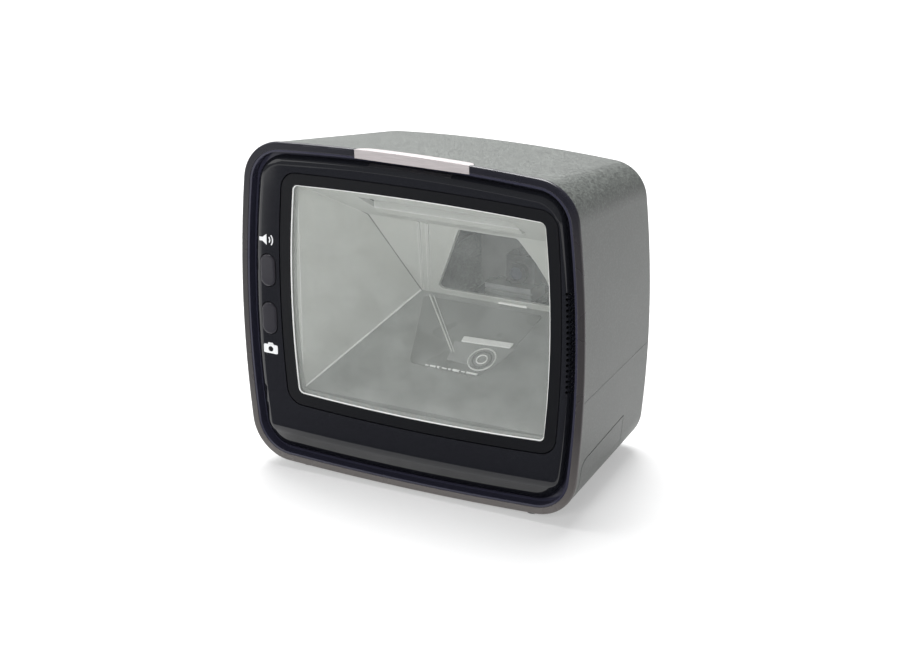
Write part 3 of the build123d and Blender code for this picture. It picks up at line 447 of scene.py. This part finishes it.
def camera_mark(x, z):
    """Camera body with a hump, and a dark lens over it, about 6.6 mm wide."""
    wide, high, corner = 3.3, 1.9, 0.6
    body = []
    for cx, cz, start in ((wide - corner, high - corner - 0.3, 0),
                          (-wide + corner, high - corner - 0.3, pi / 2),
                          (-wide + corner, -high + corner - 0.3, pi),
                          (wide - corner, -high + corner - 0.3, 1.5 * pi)):
        body += arc((x + cx * MM, z + cz * MM), corner * MM, start, start + pi / 2, 5)
    hump = [(x - 1.5 * MM, z + 1.55 * MM), (x + 1.5 * MM, z + 1.55 * MM), (x + 1.0 * MM, z + 2.4 * MM),
            (x - 1.0 * MM, z + 2.4 * MM)]
    printed("mark_capture", [body, hump], PRINT_WHITE)
    ring = arc((x, z - 0.3 * MM), 1.15 * MM, 0, 2 * pi * 27 / 28, 28)
    return printed("mark_capture_lens", [ring], PRINT_DARK, 0.02 * MM)


volume_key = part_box("volume_button")
capture_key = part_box("capture_button")
loudspeaker_mark((volume_key[0].x + volume_key[1].x) / 2, volume_key[1].z + 4.5 * MM)
camera_mark((capture_key[0].x + capture_key[1].x) / 2, capture_key[0].z - 4.7 * MM)


def front_outline(node):
    """The node's front face outline as X-Z points, in order round their middle."""
    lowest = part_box(node)[0].y
    vertices = [v.co for v in NODES[node].data.vertices if v.co.y < lowest + 0.01 * MM]
    points = {(round(place.x, 6), round(place.z, 6)) for place in vertices}
    middle = Vector((sum(p[0] for p in points), sum(p[1] for p in points))) / len(points)
    return sorted(points, key=lambda p: atan2(p[1] - middle.y, p[0] - middle.x))


def glass_edge_highlight_line():
    """A white bead round the glass, just inside its outline: a painted highlight that draws the glass's
    bright edge.
    """
    outline = front_outline("window_glass")
    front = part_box("window_glass")[0].y
    width, proud = 0.55 * MM, 0.35 * MM
    bm = bmesh.new()
    rings = []
    lap = 1.22 * MM
    profile = ((0.0, 0.0), (0.1 * MM, proud), (width - 0.1 * MM, proud), (width, 0.0))
    for inset, height in [(lap + across, rise) for across, rise in profile]:
        ring = []
        for i, point in enumerate(outline):
            before, after = Vector(outline[i - 1]), Vector(outline[(i + 1) % len(outline)])
            along = (after - before).normalized()
            inward = Vector((-along.y, along.x))
            place = Vector(point) + inward * inset
            ring.append(bm.verts.new((place.x, front - height, place.y)))
        rings.append(ring)
    count = len(outline)
    for first, second in zip(rings, rings[1:]):
        for i in range(count):
            bm.faces.new((first[i], first[(i + 1) % count], second[(i + 1) % count], second[i]))
    return add_mesh("window_edge_highlight_bead", bm, GLASS_EDGE_HIGHLIGHT, "body")


# Painted highlight: near-white bead colour for the glass's bright edge line.
GLASS_EDGE_HIGHLIGHT = moulded("glass_edge_highlight_white", rgb(246, 247, 245), 0.3, 0.6, 0.03, 0.0)
glass_edge_highlight_line()


def bead(name, points, radius, material):
    """A thin round bead that runs through the points."""
    curve = bpy.data.curves.new(name, "CURVE")
    curve.dimensions = "3D"
    curve.bevel_depth = radius
    curve.bevel_resolution = 2
    spline = curve.splines.new("POLY")
    spline.points.add(len(points) - 1)
    for point, place in zip(spline.points, points):
        point.co = (*place, 1.0)
    piece = bpy.data.objects.new(name, curve)
    bpy.context.scene.collection.objects.link(piece)
    curve.materials.append(material)
    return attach(piece, "body")


MIRROR_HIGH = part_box("bottom_mirror")[1]
MIRROR_SLOPE = 0.467
CHAMBER_SIDE_X = -53.6 * MM
CHAMBER_SIDE_SLOPE = 0.371
CEILING = [(6.0, 123.2), (38.6, 100.9), (65.0, 61.9)]


def on_mirror(x, depth, lift):
    """A point over the mirror's face; x and depth in millimetres from the front plane."""
    from_back = MIRROR_HIGH.y - (BEZEL_FACE_Y + depth * MM)
    return Vector((x * MM, BEZEL_FACE_Y + depth * MM, MIRROR_HIGH.z - MIRROR_SLOPE * from_back + lift * MM))


def on_left_wall(depth, height, proud):
    x = CHAMBER_SIDE_X + (CHAMBER_SIDE_SLOPE * depth + proud) * MM
    return Vector((x, BEZEL_FACE_Y + depth * MM, height * MM))


def mirror_plate(name, outline, lift, thick, material):
    """A thin flat plate that lies over the mirror."""
    bm = bmesh.new()
    top = bm.faces.new([bm.verts.new(on_mirror(x, depth, lift)) for x, depth in outline])
    made = bmesh.ops.extrude_face_region(bm, geom=[top])
    moved = [item for item in made["geom"] if isinstance(item, bmesh.types.BMVert)]
    bmesh.ops.translate(bm, verts=moved, vec=(0, 0, -thick * MM))
    return add_mesh(name, bm, material, "body")


def softened(points, radius):
    """The outline with each corner cut into a short arc."""
    smooth = []
    for i, corner in enumerate(points):
        here = Vector(corner)
        before = (Vector(points[i - 1]) - here).normalized() * radius
        after = (Vector(points[(i + 1) % len(points)]) - here).normalized() * radius
        for share in (0.0, 0.25, 0.5, 0.75, 1.0):
            weights = ((1 - share) ** 2, share ** 2)
            smooth.append(tuple(here + before * weights[0] + after * weights[1]))
    return smooth


# The port_ pieces stand in for the camera opening's reflection in the mirror. They are placed for
# the main camera only and are not on the real object.
PANEL_DARK = moulded("port_glass_dark", rgb(112, 114, 110), 0.3, 0.5, 0.05, 0.001)
# Near white for painted reflections and a painted highlight.
BRIGHT_REFLECTION_AND_HIGHLIGHT = moulded("bright_reflection_and_highlight", rgb(240, 241, 238), 0.25, 0.6, 0.04, 0.0)
PANEL_BLOCK = moulded("port_block_grey", rgb(140, 142, 139), 0.4, 0.5, 0.05, 0.0)
# Dark grey for a painted shade line and a painted reflection ring.
DARK_REFLECTION_AND_SHADE = moulded("dark_reflection_and_shade", rgb(96, 98, 95), 0.5, 0.6, 0.1, 0.0)
RIB_LIGHT = moulded("rib_light", rgb(214, 216, 212), 0.35, 0.5, 0.03, 0.0)
PANEL = [(-26.4, 61.9), (-14.4, 27.6), (17.0, 26.3), (25.7, 46.5), (29.0, 62.0)]
mirror_plate("port_panel", softened(PANEL, 2.2), 0.25, 0.2, PANEL_DARK)
mirror_plate("port_strip", [(1.8, 44.5), (1.8, 42.0), (23.4, 42.8), (23.8, 45.2)], 0.8, 0.5, BRIGHT_REFLECTION_AND_HIGHLIGHT)
mirror_plate("port_block", [(-1.0, 41.6), (0.4, 32.0), (20.5, 31.0), (26.0, 43.0)], 0.45, 0.15, PANEL_BLOCK)
LENS_CENTRE = (14.9, 34.8)
for index, ring_radius in enumerate((5.6, 3.9, 2.2)):
    turn_points = [on_mirror(LENS_CENTRE[0] + ring_radius * cos(2 * pi * k / 40),
                             LENS_CENTRE[1] + ring_radius * sin(2 * pi * k / 40), 0.7) for k in range(41)]
    bead(f"port_lens_ring_{index}", turn_points, 0.32 * MM, (RIB_LIGHT, DARK_REFLECTION_AND_SHADE, BRIGHT_REFLECTION_AND_HIGHLIGHT)[index])
for index, offset_x in enumerate((0.0, 1.9)):
    bead(f"port_rib_{index}",
         [on_mirror(-23.9 + offset_x, 62.4, 0.5), on_mirror(0.6 + offset_x * 0.6, 36.0, 0.5)],
         (0.34, 0.2)[index] * MM, RIB_LIGHT)
TEETH = ((-7.0, 1.4), (-4.8, 2.6), (-1.4, 1.0), (0.6, 2.2), (3.6, 1.2), (5.6, 3.0), (9.4, 1.6), (11.8, 4.8))
for index, (start, length) in enumerate(TEETH):
    bead(f"port_tooth_{index}", [on_mirror(start, 27.5, 0.5), on_mirror(start + length, 27.4, 0.5)],
         (0.3 + 0.12 * (index % 3)) * MM, BRIGHT_REFLECTION_AND_HIGHLIGHT)
# Painted highlight: a bright bead that draws the light line where the mirror meets the left wall.
bead("painted_highlight_floor_left", [on_mirror(-29.3, 64.4, 0.3), on_mirror(-51.2, 6.4, 0.3)], 0.38 * MM, BRIGHT_REFLECTION_AND_HIGHLIGHT)
# Painted shade: a dark bead along the fold where the left wall meets the ceiling.
bead("painted_shade_corner_left", [on_left_wall(depth, height, 0.15) for depth, height in CEILING],
     0.3 * MM, DARK_REFLECTION_AND_SHADE)

# ---------------------------------------------------------------- studio

FLOOR_HALF = 4.0
FLOOR_GLOW = 0.4
WORLD_STRENGTH = 0.25
CARD_HEIGHT = 0.0008
bm = bmesh.new()
bmesh.ops.create_grid(bm, x_segments=8, y_segments=8, size=FLOOR_HALF)
floor_mesh = bpy.data.meshes.new("studio_floor")
bm.to_mesh(floor_mesh)
bm.free()
floor = bpy.data.objects.new("studio_floor", floor_mesh)
bpy.context.scene.collection.objects.link(floor)
paper = moulded("floor_paper", rgb(166, 166, 166), 0.7, 1.5, 0.01, 0.0, round_mm=0)
paper_shader = paper.node_tree.nodes["Principled BSDF"]
paper_shader.inputs["Emission Color"].default_value = (1, 1, 1, 1)
paper_shader.inputs["Emission Strength"].default_value = FLOOR_GLOW
floor_mesh.materials.append(paper)


def area_light(name, place, target, size, watts):
    """A white rectangular softbox aimed at target."""
    data = bpy.data.lights.new(name, "AREA")
    data.shape = "RECTANGLE"
    data.size, data.size_y = size
    data.energy = watts
    lamp = bpy.data.objects.new(name, data)
    bpy.context.scene.collection.objects.link(lamp)
    lamp.location = place
    lamp.rotation_mode = "QUATERNION"
    lamp.rotation_quaternion = (Vector(target) - Vector(place)).to_track_quat("-Z", "Y")
    return lamp


area_light("top_softbox", (-0.3, 0.35, 1.4), (0, 0.05, 0.05), (1.1, 1.1), 58)
area_light("left_softbox", (-1.5, -0.9, 1.0), (0, 0, 0.07), (1.0, 1.0), 4)
area_light("back_softbox", (-0.75, 1.35, 0.75), (0, 0, 0.12), (1.0, 0.6), 3)
window_fill = area_light("window_fill", (0.3, -1.3, 0.7), (0.0, 0, 0.08), (0.5, 0.4), 11.5)
window_fill.visible_glossy = False

world = bpy.data.worlds.new("studio")
bpy.context.scene.world = world
world.use_nodes = True
background = world.node_tree.nodes["Background"]
background.inputs["Color"].default_value = (0.96, 0.97, 1.0, 1)
background.inputs["Strength"].default_value = WORLD_STRENGTH
bpy.context.scene.view_settings.view_transform = "Standard"

# A dark card on the floor that only glossy surfaces see keeps the bezel's face black.
card_mesh = bpy.data.meshes.new("dark_card")
bm = bmesh.new()
corners = [(-0.085, -0.062), (-0.28, -0.37), (-0.7, -1.2), (0.6, -1.2), (0.4, -0.062)]
bm.faces.new([bm.verts.new((x, y, CARD_HEIGHT)) for x, y in corners])
bm.to_mesh(card_mesh)
bm.free()
card = bpy.data.objects.new("dark_card", card_mesh)
bpy.context.scene.collection.objects.link(card)
card_mesh.materials.append(moulded("card_felt", rgb(60, 60, 66), 0.9, 1.5, 0.02, 0.0, round_mm=0))
card.visible_camera = False
card.visible_diffuse = False
card.visible_shadow = False
card.visible_transmission = False

# ---------------------------------------------------------------- camera

AZIMUTH, ELEVATION, ROLL = radians(28.3), radians(20.05), radians(-0.35)
TARGET = Vector((19.19, -43.6, 75.1)) * MM
DISTANCE = 0.8402
LENS, SENSOR = 87.55, 36.0

camera_data = bpy.data.cameras.new("camera")
camera_data.lens = LENS
camera_data.sensor_width = SENSOR
camera_data.clip_start, camera_data.clip_end = 0.01, 50
camera = bpy.data.objects.new("camera", camera_data)
bpy.context.scene.collection.objects.link(camera)
back = Vector((sin(AZIMUTH) * cos(ELEVATION), -cos(AZIMUTH) * cos(ELEVATION), sin(ELEVATION)))
right = Vector((cos(AZIMUTH), sin(AZIMUTH), 0))
up = back.cross(right)
rolled_right = right * cos(ROLL) + up * sin(ROLL)
rolled_up = up * cos(ROLL) - right * sin(ROLL)
turn = Matrix((rolled_right, rolled_up, back)).transposed().to_4x4()
camera.matrix_world = Matrix.Translation(TARGET + back * DISTANCE) @ turn
bpy.context.scene.camera = camera
